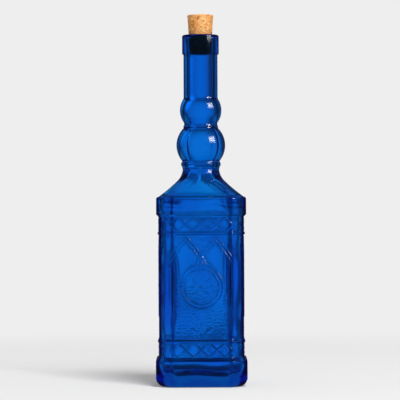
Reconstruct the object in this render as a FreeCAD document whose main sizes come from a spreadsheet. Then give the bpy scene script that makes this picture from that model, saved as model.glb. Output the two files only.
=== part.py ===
# Square moulded-glass bottle with two balls in its neck and pressed relief, closed by a tapered cork.
# Millimetres, +Z up. The origin is the middle of the standing face, and the front face looks along -Y.
import FreeCAD
import Part
import Sketcher
import math
import os

# Driving dimensions: alias, value and meaning. Each becomes a row of the sheet.
SIZES = [
    ("body_width", 72.2, "across the flat faces of the body"),
    ("base_width", 77.8, "across the faces of the base block"),
    ("shoulder_width", 76.4, "across the faces of the shoulder band"),
    ("corner_cut", 10.0, "what each planed corner takes off a body face"),
    ("stock_margin", 4.0, "stock left round the base before the faces are planed"),
    ("heel_round", 8.0, "radius from the base's sides to its standing face"),
    ("base_height", 22.5, "standing face to the top of the base block's sides"),
    ("base_ledge", 2.8, "height of the sloped ledge over the base block"),
    ("lower_lattice", 12.2, "height of the lattice band over the base"),
    ("panel_height", 88.9, "height of the panel between the two beads"),
    ("upper_lattice", 11.6, "height of the lattice band under the shoulder"),
    ("bead_width", 2.6, "height of a bead from edge to edge"),
    ("bead_crown", 1.0, "height of a bead's flat crown"),
    ("bead_rise", 1.0, "how far a bead stands out from the body"),
    ("band_ledge", 2.3, "height of the sloped ledge under the shoulder band"),
    ("band_depth", 15.8, "height of the shoulder band from edge to edge"),
    ("band_round", 1.2, "radius over the band's upper edge"),
    ("shoulder_rise", 23.0, "height of the coved shoulder over that edge"),
    ("cove_drop", 10.3, "drop from the waist to where a cove's two arcs meet"),
    ("face_cove_run", 4.2, "run from the shoulder's top to that point, over a face"),
    ("corner_cove_run", 6.15, "run from the shoulder's top to that point, over a corner"),
    ("taper_drop", 5.0, "height of each of the two tapers that turn the coves into a round neck"),
    ("upper_taper_run", 1.35, "run of the upper taper"),
    ("lower_taper_run", 4.0, "run of the lower taper"),
    ("punt_diameter", 48.0, "width of the hollow under the base"),
    ("punt_crown", 16.0, "width of the flat top of that hollow"),
    ("punt_height", 5.0, "depth of the hollow under the base"),
    ("waist_diameter", 31.9, "width of the neck at the waist"),
    ("neck_root", 4.0, "how far the neck goes down into the shoulder"),
    ("neck_lap", 0.25, "how far the shoulder's top lies inside the neck"),
    ("ring_gap", 0.9, "straight neck between the waist and the lower ring"),
    ("lower_ring_width", 5.4, "height of the lower ring at its root"),
    ("lower_ring_rim", 2.0, "height of the lower ring's straight rim"),
    ("lower_ring_diameter", 34.0, "width of the lower ring"),
    ("lower_ball_diameter", 41.8, "width of the lower ball of the neck"),
    ("lower_ball_cap", 14.2, "height from that ball's middle to the ring over it"),
    ("upper_ring_root", 28.5, "width of the neck beside the ring between the balls"),
    ("upper_ring_width", 3.2, "height of the ring between the balls at its root"),
    ("upper_ring_rim", 1.2, "height of that ring's straight rim"),
    ("upper_ring_diameter", 29.7, "width of that ring"),
    ("groove_width", 1.9, "height of the groove between that ring and the upper ball"),
    ("upper_ball_diameter", 35.6, "width of the upper ball of the neck"),
    ("neck_length", 37.75, "height of the straight neck under the lip"),
    ("neck_diameter", 29.2, "width of the straight neck"),
    ("lip_depth", 16.8, "height of the collar lip from edge to edge"),
    ("lip_diameter", 31.5, "width of the collar lip"),
    ("lip_bevel", 1.2, "bevel of the lip's edges"),
    ("relief_rise", 0.8, "how far the pressed relief stands out from a face"),
    ("relief_root", 0.6, "how far the relief is rooted in the glass"),
    ("lattice_rib", 1.6, "width of a lattice rib"),
    ("arch_rib", 1.4, "width of an arch rib"),
    ("arch_spread", 12.4, "distance of each arch's point from the middle of the face"),
    ("arch_headroom", 2.0, "distance of the arches' points from the upper bead"),
    ("arch_radius", 90.0, "radius of the arch ribs"),
    ("arch_drop", 63.6, "how far the centres of the arch ribs lie below the points"),
    ("arch_fall", 25.5, "drop from the points to where the crossing ribs end"),
    ("leg_inset", 2.0, "distance of an arch's straight leg from the planed corner"),
    ("leg_head", 16.0, "drop from the points to the head of the legs"),
    ("leg_length", 52.0, "height of the legs"),
    ("medallion_drop", 44.5, "drop from the upper bead to the middle of the medallion"),
    ("ring_radius", 18.2, "middle radius of the medallion's ring"),
    ("ring_rib", 1.6, "width of the medallion's ring"),
    ("wall", 4.0, "glass thickness of the body's faces"),
    ("hollow_corner", 12.0, "radius of the hollow's upright corners"),
    ("floor_height", 4.6, "glass thickness of the floor, which rises over the hollow under the base"),
    ("floor_bevel", 4.5, "bevel from the hollow's floor to its sides"),
    ("bell_start", 5.3, "drop from the band's upper edge to where the hollow's corners turn in"),
    ("bell_wall", 5.0, "glass at the planed corners where they turn in"),
    ("bell_drop", 10.0, "drop from the waist to the bend in the hollow's bell-shaped shoulder"),
    ("bell_run", 4.75, "run from the bell's top to that bend"),
    ("throat_diameter", 22.4, "width of the bore at the waist"),
    ("ball_wall", 3.5, "glass thickness at the middle of the balls"),
    ("bore_diameter", 20.8, "width of the bore in the straight neck and between the balls"),
    ("mouth_diameter", 20.0, "width of the bore in the lip, where the cork seats"),
    ("mouth_bevel", 1.0, "bevel of the mouth's inner edge"),
    ("cork_clearance", 0.05, "radial gap between the cork and the mouth at its seat"),
    ("cork_above", 17.1, "cork standing out of the lip"),
    ("cork_below", 16.6, "cork hidden in the bore"),
    ("cork_taper", 0.067, "radius gained per millimetre of height"),
    ("cork_bevel", 0.6, "bevel round the cork's two ends"),
]

SIDES = 4


def ball_height(ball, neck):
    """Height from a ball's middle to where it narrows to a given part of the neck, as an expression."""
    width = neck if neck.endswith("_root") else f"{neck}_diameter"
    return f"(sqrt(sizes.{ball}_diameter^2 - sizes.{width}^2) / 2)"


# Distances from the axis and along a side that several features share.
FACE_OUT = "(sizes.body_width / 2)"
CORNER_OUT = "((sizes.body_width - sizes.corner_cut) / sqrt(2))"
FACE_HALF = "(sizes.body_width / 2 - sizes.corner_cut)"
CORNER_HALF = "(sizes.corner_cut / sqrt(2))"
CELL = f"(({FACE_HALF} + {CORNER_HALF}) / 3)"
SHOULDER_TOP = "(sizes.waist_diameter / 2 - sizes.neck_lap)"
BEYOND = "(sizes.base_width + 2 * sizes.stock_margin)"

# Levels, each stacked on the one before it.
LEDGE_TOP = "(sizes.base_height + sizes.base_ledge)"
LOWER_BEAD = f"({LEDGE_TOP} + sizes.lower_lattice + sizes.bead_width / 2)"
UPPER_BEAD = f"({LOWER_BEAD} + sizes.panel_height + sizes.bead_width)"
LEDGE_FOOT = f"({UPPER_BEAD} + sizes.bead_width / 2 + sizes.upper_lattice)"
BAND_TOP = f"({LEDGE_FOOT} + sizes.band_ledge + sizes.band_depth)"
WAIST = f"({BAND_TOP} + sizes.band_round + sizes.shoulder_rise)"
LOWER_RING = f"({WAIST} + sizes.ring_gap + sizes.lower_ring_width / 2)"
LOWER_BALL = f"({LOWER_RING} + sizes.lower_ring_width / 2 + {ball_height('lower_ball', 'waist')})"
BALL_CAP = f"({LOWER_BALL} + sizes.lower_ball_cap)"
UPPER_RING = f"({BALL_CAP} + sizes.upper_ring_width / 2)"
GROOVE_TOP = f"({UPPER_RING} + sizes.upper_ring_width / 2 + sizes.groove_width)"
UPPER_BALL = f"({GROOVE_TOP} + {ball_height('upper_ball', 'upper_ring_root')})"
NECK_FOOT = f"({UPPER_BALL} + {ball_height('upper_ball', 'neck')})"
LIP_FOOT = f"({NECK_FOOT} + sizes.neck_length)"
LIP_TOP = f"({LIP_FOOT} + sizes.lip_depth)"

# Levels of the relief, measured down from the upper bead.
ARCH_POINT = f"({UPPER_BEAD} - sizes.bead_width / 2 - sizes.arch_headroom)"
MEDALLION = f"({UPPER_BEAD} - sizes.bead_width / 2 - sizes.medallion_drop)"
LATTICES = [
    (LEDGE_TOP, f"({LEDGE_TOP} + sizes.lower_lattice)"),
    (f"({LEDGE_FOOT} - sizes.upper_lattice)", LEDGE_FOOT),
]


def make_sheet(doc):
    """Put the driving dimensions into a sheet, one row each: meaning, value and alias."""
    sheet = doc.addObject("Spreadsheet::Sheet", "sizes")
    for row, (alias, value, meaning) in enumerate(SIZES, start=1):
        sheet.set(f"A{row}", meaning)
        sheet.set(f"B{row}", str(value))
        sheet.setAlias(f"B{row}", alias)
    doc.recompute()


def origin_feature(body, role):
    """Return one of the body's own origin planes or axes."""
    return next(item for item in body.Origin.OriginFeatures if item.Role == role)


def new_sketch(body, name, role="XZ_Plane", turn=None):
    """Attach an empty sketch to an origin plane, turned from it where turn says so."""
    sketch = body.newObject("Sketcher::SketchObject", name)
    sketch.AttachmentSupport = (origin_feature(body, role), [""])
    sketch.MapMode = "FlatFace"
    sketch.AttachmentOffset = FreeCAD.Placement(FreeCAD.Vector(), turn or FreeCAD.Rotation())
    return sketch


def corner_turn():
    """Turn from a face to the planed corner beside it."""
    return FreeCAD.Rotation(FreeCAD.Vector(0, 1, 0), 180.0 / SIDES)


def read(sketch, text):
    """Value of an expression as a plain number."""
    return float(sketch.evalExpression(text))


def pin_point(sketch, side, end, place):
    """Hold one point of a side at a place given by two expressions; None leaves a direction free."""
    for kind, axis, text in (("DistanceX", -2, place[0]), ("DistanceY", -1, place[1])):
        if text is None:
            continue
        if text == "0":
            sketch.addConstraint(Sketcher.Constraint("PointOnObject", side, end, axis))
            continue
        index = sketch.addConstraint(Sketcher.Constraint(kind, -1, 1, side, end, read(sketch, text)))
        sketch.setExpression(f"Constraints[{index}]", text)


def arc_centre(start, end, level=None, heading=None):
    """Centre of the arc between two points, from its centre's height or its heading at the start."""
    if heading is not None:
        chord = end - start
        square = FreeCAD.Vector(-heading.y, heading.x, 0)
        return start + square * (chord.dot(chord) / (2 * chord.dot(square)))
    rise = (end.y - level) ** 2 - (start.y - level) ** 2
    return FreeCAD.Vector((end.x ** 2 - start.x ** 2 + rise) / (2 * (end.x - start.x)), level, 0)


def draw_arc(sketch, start, end, centre):
    """Add the short arc between two points; return its side with both ends, and its last heading."""
    spoke, last_spoke = start - centre, end - centre
    turn = 1 if spoke.cross(last_spoke).z > 0 else -1
    angles = [math.atan2(item.y, item.x) for item in (spoke, last_spoke)]
    circle = Part.Circle(centre, FreeCAD.Vector(0, 0, 1), spoke.Length)
    side = sketch.addGeometry(Part.ArcOfCircle(circle, *angles[::turn]))
    heading = FreeCAD.Vector(-last_spoke.y, last_spoke.x, 0).normalize() * turn
    return (side, 1, 2) if turn > 0 else (side, 2, 1), heading


def draw_outline(sketch, corners, arcs=()):
    """Draw a closed outline through corners given as (across, up) expressions.

    arcs maps a side's number to the expression of its centre's height, or to None where the arc
    runs on smoothly from the arc before it. Every other side is straight.
    """
    arcs = dict(arcs)
    points = [FreeCAD.Vector(read(sketch, across), read(sketch, up), 0) for across, up in corners]
    sides = []
    heading = None
    for number, start in enumerate(points):
        end = points[(number + 1) % len(points)]
        if number not in arcs:
            sides.append((sketch.addGeometry(Part.LineSegment(start, end)), 1, 2))
            continue
        if arcs[number] is None:
            centre = arc_centre(start, end, heading=heading)
        else:
            centre = arc_centre(start, end, level=read(sketch, arcs[number]))
        side, heading = draw_arc(sketch, start, end, centre)
        sides.append(side)
    for number, (side, first, last) in enumerate(sides):
        following = (number + 1) % len(sides)
        next_side, next_first, _ = sides[following]
        join = "Tangent" if arcs.get(following, "") is None else "Coincident"
        sketch.addConstraint(Sketcher.Constraint(join, side, last, next_side, next_first))
        pin_point(sketch, side, first, corners[number])
        if arcs.get(number) is not None:
            pin_point(sketch, side, 3, (None, arcs[number]))


def draw_circle(sketch, radius):
    """Draw a circle about the sketch's origin."""
    circle = Part.Circle(FreeCAD.Vector(), FreeCAD.Vector(0, 0, 1), read(sketch, radius))
    side = sketch.addGeometry(circle)
    sketch.addConstraint(Sketcher.Constraint("Coincident", side, 3, -1, 1))
    index = sketch.addConstraint(Sketcher.Constraint("Radius", side, read(sketch, radius)))
    sketch.setExpression(f"Constraints[{index}]", radius)


def add_feature(body, kind, name, sketch, **expressions):
    """Add a sketch-based feature whose named properties follow expressions."""
    feature = body.newObject(f"PartDesign::{kind}", name)
    feature.Profile = sketch
    for prop, text in expressions.items():
        feature.setExpression(prop, text)
    body.Tip = feature
    return feature


def spin(body, kind, name, sketch):
    """Revolve a sketch once round the upright axis, adding or cutting."""
    feature = add_feature(body, kind, name, sketch)
    feature.ReferenceAxis = (origin_feature(body, "Z_Axis"), [""])


def mirror_step(body, feature):
    """Prepare a mirror across the upright axis of a feature's own sketch."""
    step = body.Document.addObject("PartDesign::Mirrored", f"{feature.Name}_mirror")
    step.MirrorPlane = (feature.Profile[0], ["V_Axis"])
    return step


def polar_step(body, name, axis, copies, angle=360.0):
    """Prepare a polar repeat about an axis."""
    step = body.Document.addObject("PartDesign::PolarPattern", name)
    step.Axis = axis
    step.Angle = angle
    step.Occurrences = copies
    return step


def repeat(body, feature, *steps):
    """Repeat a feature by the given steps and then round the bottle's sides."""
    upright = (origin_feature(body, "Z_Axis"), [""])
    pattern = body.newObject("PartDesign::MultiTransform", f"{feature.Name}_repeat")
    pattern.Originals = [feature]
    pattern.Transformations = [*steps, polar_step(body, f"{feature.Name}_sides", upright, SIDES)]
    body.Tip = pattern


def side_profile(out, cove_run):
    """Corners and arcs of one side's profile from the waist down to the standing face.

    out is the expression of the body side's distance from the axis: a face's or a corner's.
    """
    base = f"({out} + (sizes.base_width - sizes.body_width) / 2)"
    band = f"({out} + (sizes.shoulder_width - sizes.body_width) / 2)"
    corners = [
        (SHOULDER_TOP, WAIST),
        (f"{SHOULDER_TOP} + {cove_run}", f"{WAIST} - sizes.cove_drop"),
        (f"{band} - sizes.band_round", f"{BAND_TOP} + sizes.band_round"),
        (band, BAND_TOP),
        (band, f"{BAND_TOP} - sizes.band_depth"),
        (out, LEDGE_FOOT),
    ]
    arcs = {0: WAIST, 1: None, 2: BAND_TOP}
    for bead in (UPPER_BEAD, LOWER_BEAD):
        corners += [
            (out, f"{bead} + sizes.bead_width / 2"),
            (f"{out} + sizes.bead_rise", f"{bead} + sizes.bead_crown / 2"),
            (f"{out} + sizes.bead_rise", f"{bead} - sizes.bead_crown / 2"),
            (out, f"{bead} - sizes.bead_width / 2"),
        ]
    corners += [
        (out, LEDGE_TOP),
        (base, "sizes.base_height"),
        (base, "sizes.heel_round"),
        (f"{base} - sizes.heel_round", "0"),
    ]
    arcs[len(corners) - 2] = "sizes.heel_round"
    return corners, arcs


def plane_sides(body, name, turn, out, cove_run):
    """Cut the stock back to a side's profile on four sides."""
    sketch = new_sketch(body, f"{name}_profile", turn=turn)
    corners, arcs = side_profile(out, cove_run)
    draw_outline(sketch, corners + [(BEYOND, "0"), (BEYOND, WAIST)], arcs)
    cut = add_feature(body, "Pocket", f"{name}_cut", sketch, Length=f"2 * {BEYOND}")
    cut.SideType = "Symmetric"
    repeat(body, cut)


def ring_corners(name, middle, root):
    """Corners of a ring round the neck: a straight rim between two sloped sides."""
    rim = f"sizes.{name}_diameter / 2"
    return [
        (root, f"{middle} - sizes.{name}_width / 2"),
        (rim, f"{middle} - sizes.{name}_rim / 2"),
        (rim, f"{middle} + sizes.{name}_rim / 2"),
        (root, f"{middle} + sizes.{name}_width / 2"),
    ]


def neck_profile():
    """Corners and arcs of the neck, from a root inside the shoulder up to the lip."""
    waist = "sizes.waist_diameter / 2"
    lip = "sizes.lip_diameter / 2"
    corners = [
        ("0", f"{WAIST} - sizes.neck_root"),
        (waist, f"{WAIST} - sizes.neck_root"),
        *ring_corners("lower_ring", LOWER_RING, waist),
        ("sizes.lower_ball_diameter / 2", LOWER_BALL),
        ("sqrt(sizes.lower_ball_diameter^2 / 4 - sizes.lower_ball_cap^2)", BALL_CAP),
        *ring_corners("upper_ring", UPPER_RING, "sizes.upper_ring_root / 2"),
        ("sizes.upper_ring_root / 2", GROOVE_TOP),
        ("sizes.upper_ball_diameter / 2", UPPER_BALL),
        ("sizes.neck_diameter / 2", NECK_FOOT),
        ("sizes.neck_diameter / 2", LIP_FOOT),
        (f"{lip} - sizes.lip_bevel", LIP_FOOT),
        (lip, f"{LIP_FOOT} + sizes.lip_bevel"),
        (lip, f"{LIP_TOP} - sizes.lip_bevel"),
        (f"{lip} - sizes.lip_bevel", LIP_TOP),
        ("0", LIP_TOP),
    ]
    levels = [up for _, up in corners]
    arcs = {}
    for middle in (LOWER_BALL, UPPER_BALL):
        widest = levels.index(middle)
        arcs[widest - 1] = middle
        arcs[widest] = middle
    return corners, arcs


def make_glass_form(doc):
    """Build the bottle's plain outside as one solid: planed stock, round waist, neck and punt."""
    body = doc.addObject("PartDesign::Body", "glass_form")

    stock = new_sketch(body, "stock_section", "XY_Plane")
    half = "(sizes.base_width / 2 + sizes.stock_margin)"
    draw_outline(stock, [(half, half), (f"-{half}", half), (f"-{half}", f"-{half}"), (half, f"-{half}")])
    add_feature(body, "Pad", "stock", stock, Length=WAIST)

    plane_sides(body, "face", None, FACE_OUT, "sizes.face_cove_run")
    plane_sides(body, "corner", corner_turn(), CORNER_OUT, "sizes.corner_cove_run")

    waist = new_sketch(body, "waist_profile")
    run = f"{SHOULDER_TOP} + sizes.upper_taper_run"
    draw_outline(waist, [
        (SHOULDER_TOP, WAIST),
        (run, f"{WAIST} - sizes.taper_drop"),
        (f"{run} + sizes.lower_taper_run", f"{WAIST} - 2 * sizes.taper_drop"),
        (BEYOND, f"{WAIST} - 2 * sizes.taper_drop"),
        (BEYOND, WAIST),
    ])
    spin(body, "Groove", "waist_cut", waist)

    neck = new_sketch(body, "neck_section")
    draw_outline(neck, *neck_profile())
    spin(body, "Revolution", "neck", neck)

    punt = new_sketch(body, "punt_section")
    draw_outline(punt, [
        ("0", "0"),
        ("sizes.punt_diameter / 2", "0"),
        ("sizes.punt_crown / 2", "sizes.punt_height"),
        ("0", "sizes.punt_height"),
    ])
    spin(body, "Groove", "punt", punt)
    return body


def bore_profile():
    """Corners of the bore, from inside the hollow's shoulder up and out of the mouth."""
    throat = "sizes.throat_diameter / 2"
    bore = "sizes.bore_diameter / 2"
    mouth = "sizes.mouth_diameter / 2"
    return [
        ("0", f"{WAIST} - sizes.bell_drop"),
        (throat, f"{WAIST} - sizes.bell_drop"),
        (throat, f"{LOWER_RING} + sizes.lower_ring_width / 2"),
        ("sizes.lower_ball_diameter / 2 - sizes.ball_wall", LOWER_BALL),
        (bore, f"{UPPER_RING} - sizes.upper_ring_width / 2"),
        (bore, f"{UPPER_RING} + sizes.upper_ring_width / 2"),
        ("sizes.upper_ball_diameter / 2 - sizes.ball_wall", UPPER_BALL),
        (bore, NECK_FOOT),
        (bore, f"{LIP_FOOT} - sizes.lip_bevel"),
        (mouth, f"{LIP_FOOT} + sizes.lip_bevel"),
        (mouth, f"{LIP_TOP} - sizes.mouth_bevel"),
        (f"{mouth} + sizes.mouth_bevel", LIP_TOP),
        (f"{mouth} + sizes.mouth_bevel", f"{LIP_TOP} + sizes.mouth_bevel"),
        ("0", f"{LIP_TOP} + sizes.mouth_bevel"),
    ]


def make_glass_hollow(doc):
    """Build the space inside the glass as one solid: square room with a raised floor, bell and bore."""
    body = doc.addObject("PartDesign::Body", "glass_hollow")

    section = new_sketch(body, "room_section", "XY_Plane")
    side = "(sizes.body_width / 2 - sizes.wall)"
    flat = f"({side} - sizes.hollow_corner)"
    draw_outline(section, [
        (side, f"-{flat}"), (side, flat), (flat, side), (f"-{flat}", side),
        (f"-{side}", flat), (f"-{side}", f"-{flat}"), (f"-{flat}", f"-{side}"), (flat, f"-{side}"),
    ], {1: flat, 3: flat, 5: f"-{flat}", 7: f"-{flat}"})
    section.setExpression("AttachmentOffset.Base.z", "sizes.floor_height")
    room = add_feature(body, "Pad", "room", section, Length=f"{WAIST} - sizes.floor_height")
    doc.recompute()

    heights = [face.CenterOfMass.z for face in room.Shape.Faces]
    bevel = body.newObject("PartDesign::Chamfer", "floor_edge")
    bevel.Base = (room, [f"Face{heights.index(min(heights)) + 1}"])
    bevel.setExpression("Size", "sizes.floor_bevel")
    body.Tip = bevel

    rise = new_sketch(body, "floor_rise_section")
    draw_outline(rise, [
        ("0", "0"),
        ("sizes.punt_diameter / 2", "0"),
        ("sizes.punt_diameter / 2", "sizes.floor_height"),
        ("sizes.punt_crown / 2", "sizes.floor_height + sizes.punt_height"),
        ("0", "sizes.floor_height + sizes.punt_height"),
    ])
    spin(body, "Groove", "floor_rise", rise)

    bell = new_sketch(body, "bell_section")
    bell_top = "sizes.throat_diameter / 2 - sizes.neck_lap"
    draw_outline(bell, [
        (bell_top, WAIST),
        (f"{bell_top} + sizes.bell_run", f"{WAIST} - sizes.bell_drop"),
        (f"{CORNER_OUT} - sizes.bell_wall", f"{BAND_TOP} - sizes.bell_start"),
        (BEYOND, f"{BAND_TOP} - sizes.bell_start"),
        (BEYOND, WAIST),
    ])
    spin(body, "Groove", "bell", bell)

    bore = new_sketch(body, "bore_section")
    draw_outline(bore, bore_profile())
    spin(body, "Revolution", "bore", bore)
    return body


def relief_sketch(body, name, out, turn=None, height=None):
    """Attach a sketch just under a side's surface, with its origin at a height on that side."""
    sketch = new_sketch(body, name, turn=turn)
    depth = f"({out} - sizes.relief_root)"
    if out == CORNER_OUT:
        sketch.setExpression("AttachmentOffset.Base.x", f"{depth} / sqrt(2)")
        sketch.setExpression("AttachmentOffset.Base.z", f"{depth} / sqrt(2)")
    else:
        sketch.setExpression("AttachmentOffset.Base.z", depth)
    if height:
        sketch.setExpression("AttachmentOffset.Base.y", height)
    return sketch


def relief_pad(body, name, sketch):
    """Raise a sketch's outlines out of the surface."""
    return add_feature(body, "Pad", name, sketch, Length="sizes.relief_root + sizes.relief_rise")


def draw_lattice(sketch, half, reach):
    """Draw the falling ribs of both lattice bands across a side, cut off at its edges.

    A rib falls from the top to the bottom of its band over one cell; the mirrored ones cross it.
    reach is how many cells lie to each side of the middle one, the last ones cut by the edge.
    """
    for low, high in LATTICES:
        tall = f"({high} - {low})"
        thick = f"(sizes.lattice_rib / 2 * sqrt(1 + ({tall} / {CELL})^2))"
        for cell in range(-reach, reach + 1):
            start = f"-{half}" if cell == -reach else f"({cell - 0.5} * {CELL})"
            end = half if cell == reach else f"({cell + 0.5} * {CELL})"
            start_up = f"({high} - ({start} / {CELL} - {cell - 0.5}) * {tall})"
            end_up = f"({high} - ({end} / {CELL} - {cell - 0.5}) * {tall})"
            draw_outline(sketch, [
                (start, f"{start_up} - {thick}"),
                (end, f"{end_up} - {thick}"),
                (end, f"{end_up} + {thick}"),
                (start, f"{start_up} + {thick}"),
            ])


def draw_arches(sketch):
    """Draw the ribs of both arches that fall to the right, each between two arcs about one centre.

    The left arch's rib crosses the middle and ends on the medallion, and the right arch's ends at
    the face's edge. Their mirror images make up the two crossing arches.
    """
    centre_up = f"({ARCH_POINT} - sizes.arch_drop)"
    reach = "sqrt(sizes.arch_radius^2 - sizes.arch_drop^2)"
    foot_rise = "(sizes.arch_drop - sizes.arch_fall)"
    edge_run = f"({FACE_HALF} - sizes.arch_spread + {reach})"
    radii = [f"(sizes.arch_radius {sign} sizes.arch_rib / 2)" for sign in "+-"]
    heads = [f"{centre_up} + sqrt({radius}^2 - {reach}^2)" for radius in radii]
    feet = [f"-sizes.arch_spread - {reach} + sqrt({radius}^2 - {foot_rise}^2)" for radius in radii]
    edges = [f"{centre_up} + sqrt({radius}^2 - {edge_run}^2)" for radius in radii]
    draw_outline(sketch, [
        ("-sizes.arch_spread", heads[0]),
        (feet[0], f"{centre_up} + {foot_rise}"),
        (feet[1], f"{centre_up} + {foot_rise}"),
        ("-sizes.arch_spread", heads[1]),
    ], {0: centre_up, 2: centre_up})
    draw_outline(sketch, [
        ("sizes.arch_spread", heads[0]),
        (FACE_HALF, edges[0]),
        (FACE_HALF, edges[1]),
        ("sizes.arch_spread", heads[1]),
    ], {0: centre_up, 2: centre_up})


def make_face_relief(doc):
    """Build the four faces' relief: lattice bands, crossing arches on legs, and a medallion's ring."""
    body = doc.addObject("PartDesign::Body", "face_relief")
    body.AllowCompound = True

    lattice = relief_sketch(body, "face_lattice", FACE_OUT)
    draw_lattice(lattice, FACE_HALF, 2)
    ribs = relief_pad(body, "face_ribs", lattice)
    repeat(body, ribs, mirror_step(body, ribs))

    arches = relief_sketch(body, "arch_outline", FACE_OUT)
    draw_arches(arches)
    arch_ribs = relief_pad(body, "arch_ribs", arches)
    repeat(body, arch_ribs, mirror_step(body, arch_ribs))

    leg = relief_sketch(body, "leg_outline", FACE_OUT)
    near = f"({FACE_HALF} - sizes.leg_inset - sizes.arch_rib / 2)"
    far = f"({FACE_HALF} - sizes.leg_inset + sizes.arch_rib / 2)"
    head = f"({ARCH_POINT} - sizes.leg_head)"
    foot = f"({head} - sizes.leg_length)"
    draw_outline(leg, [(near, foot), (far, foot), (far, head), (near, head)])
    legs = relief_pad(body, "legs", leg)
    repeat(body, legs, mirror_step(body, legs))

    ring = relief_sketch(body, "ring_outline", FACE_OUT, height=MEDALLION)
    draw_circle(ring, "sizes.ring_radius + sizes.ring_rib / 2")
    draw_circle(ring, "sizes.ring_radius - sizes.ring_rib / 2")
    repeat(body, relief_pad(body, "medallion_ring", ring))
    return body


def make_corner_relief(doc):
    """Build the lattice bands' crossings on the four planed corners."""
    body = doc.addObject("PartDesign::Body", "corner_relief")
    body.AllowCompound = True
    lattice = relief_sketch(body, "corner_lattice", CORNER_OUT, turn=corner_turn())
    draw_lattice(lattice, CORNER_HALF, 1)
    ribs = relief_pad(body, "corner_ribs", lattice)
    repeat(body, ribs, mirror_step(body, ribs))
    return body


def make_bottle(doc):
    """Take the hollow out of the plain form and press the relief on."""
    shell = doc.addObject("Part::Cut", "plain_shell")
    shell.Base = make_glass_form(doc)
    shell.Tool = make_glass_hollow(doc)
    shell.Refine = False
    bottle = doc.addObject("Part::MultiFuse", "glass_bottle")
    bottle.Shapes = [shell, make_face_relief(doc), make_corner_relief(doc)]
    return bottle


def make_cork(doc):
    """Turn the tapered cork, seated just clear of the mouth's inner edge."""
    body = doc.addObject("PartDesign::Body", "cork_stopper")
    section = new_sketch(body, "cork_section")
    seat = "(sizes.mouth_diameter / 2 - sizes.cork_clearance)"
    top = f"({seat} + sizes.cork_taper * (sizes.cork_above + sizes.mouth_bevel))"
    foot = f"({seat} - sizes.cork_taper * (sizes.cork_below - sizes.mouth_bevel))"
    head = f"({LIP_TOP} + sizes.cork_above)"
    tail = f"({LIP_TOP} - sizes.cork_below)"
    draw_outline(section, [
        ("0", tail),
        (f"{foot} - sizes.cork_bevel", tail),
        (foot, f"{tail} + sizes.cork_bevel"),
        (top, f"{head} - sizes.cork_bevel"),
        (f"{top} - sizes.cork_bevel", head),
        ("0", head),
    ])
    spin(body, "Revolution", "plug", section)
    return body


def check_built(doc, pieces):
    """Stop if any object failed or any piece isn't one sound solid."""
    failed = [item.Name for item in doc.Objects if {"Invalid", "Error"} & set(item.State)]
    if failed:
        raise RuntimeError("failed to build: " + ", ".join(failed))
    for piece in pieces:
        if piece.Shape.isNull() or not piece.Shape.isValid() or len(piece.Shape.Solids) != 1:
            raise RuntimeError(f"{piece.Label} isn't one sound solid")


def main():
    """Build the document, check it and write one file for each piece."""
    doc = FreeCAD.newDocument("bottle")
    make_sheet(doc)
    pieces = [make_bottle(doc), make_cork(doc)]
    doc.recompute()
    check_built(doc, pieces)
    os.makedirs("parts", exist_ok=True)
    for piece in pieces:
        piece.Shape.exportStep(f"parts/{piece.Label}.step")
        print(f"{piece.Label}: {len(piece.Shape.Faces)} faces, {piece.Shape.Volume / 1000:.1f} ml of material")


main()
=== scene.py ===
"""Blue pressed-glass bottle with a cork stopper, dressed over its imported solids.

Fields give the pieces' sizes in millimetres, the finishes' and the studio's in
metres, and turns in degrees; meshes are written in metres. The bottle stands on
the floor at the origin with +Z up and its front panel facing -Y.
"""

import logging
import math
from collections.abc import Mapping
from dataclasses import dataclass, field
from enum import Enum

import bpy
import numpy as np
from mathutils import Matrix, Vector
from numpy.typing import NDArray


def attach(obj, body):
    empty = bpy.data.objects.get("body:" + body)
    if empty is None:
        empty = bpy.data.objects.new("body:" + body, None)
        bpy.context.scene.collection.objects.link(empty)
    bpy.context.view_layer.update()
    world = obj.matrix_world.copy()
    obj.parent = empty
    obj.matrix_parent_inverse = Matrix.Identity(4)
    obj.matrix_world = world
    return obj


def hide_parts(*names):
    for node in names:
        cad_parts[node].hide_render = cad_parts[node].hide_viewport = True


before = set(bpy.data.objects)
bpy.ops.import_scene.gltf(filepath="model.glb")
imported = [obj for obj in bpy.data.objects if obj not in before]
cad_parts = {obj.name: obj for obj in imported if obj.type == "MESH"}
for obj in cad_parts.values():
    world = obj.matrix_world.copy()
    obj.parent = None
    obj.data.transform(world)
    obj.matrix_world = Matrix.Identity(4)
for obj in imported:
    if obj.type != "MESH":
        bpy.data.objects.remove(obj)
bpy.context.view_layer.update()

LOG = logging.getLogger("bottle")
MM = 0.001
SQRT2 = math.sqrt(2.0)
EIGHTH = math.pi / 4.0
QUARTER = math.pi / 2.0
WHOLE = 2.0 * math.pi
POLE_SHARE = 0.06  # radius of the first ring round a pole, as a share of the last one's

Array = NDArray[np.float64]
Indices = NDArray[np.int64]
Span = tuple[float, float]
Colour = tuple[float, float, float]
Direction = tuple[float, float, float]
Socket = bpy.types.NodeSocket
Term = float | Socket
Inputs = Mapping[str | int, Term | tuple[float, ...]]


class Side(Enum):
    """Kind of side of the eight-sided body, by its turn about the axis."""

    FACE = 0.0
    CORNER = EIGHTH


class Columns(Enum):
    """Columns of a ring, as those on each face and those on each planed corner."""

    FINE = (72, 12)
    MIDDLE = (36, 6)
    COARSE = (18, 3)


def smooth_step(value: Array) -> Array:
    """Ease from 0 to 1 with level ends: 3t^2 - 2t^3 of the clipped value."""
    share = np.clip(value, 0.0, 1.0)
    return share * share * (3.0 - 2.0 * share)


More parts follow.
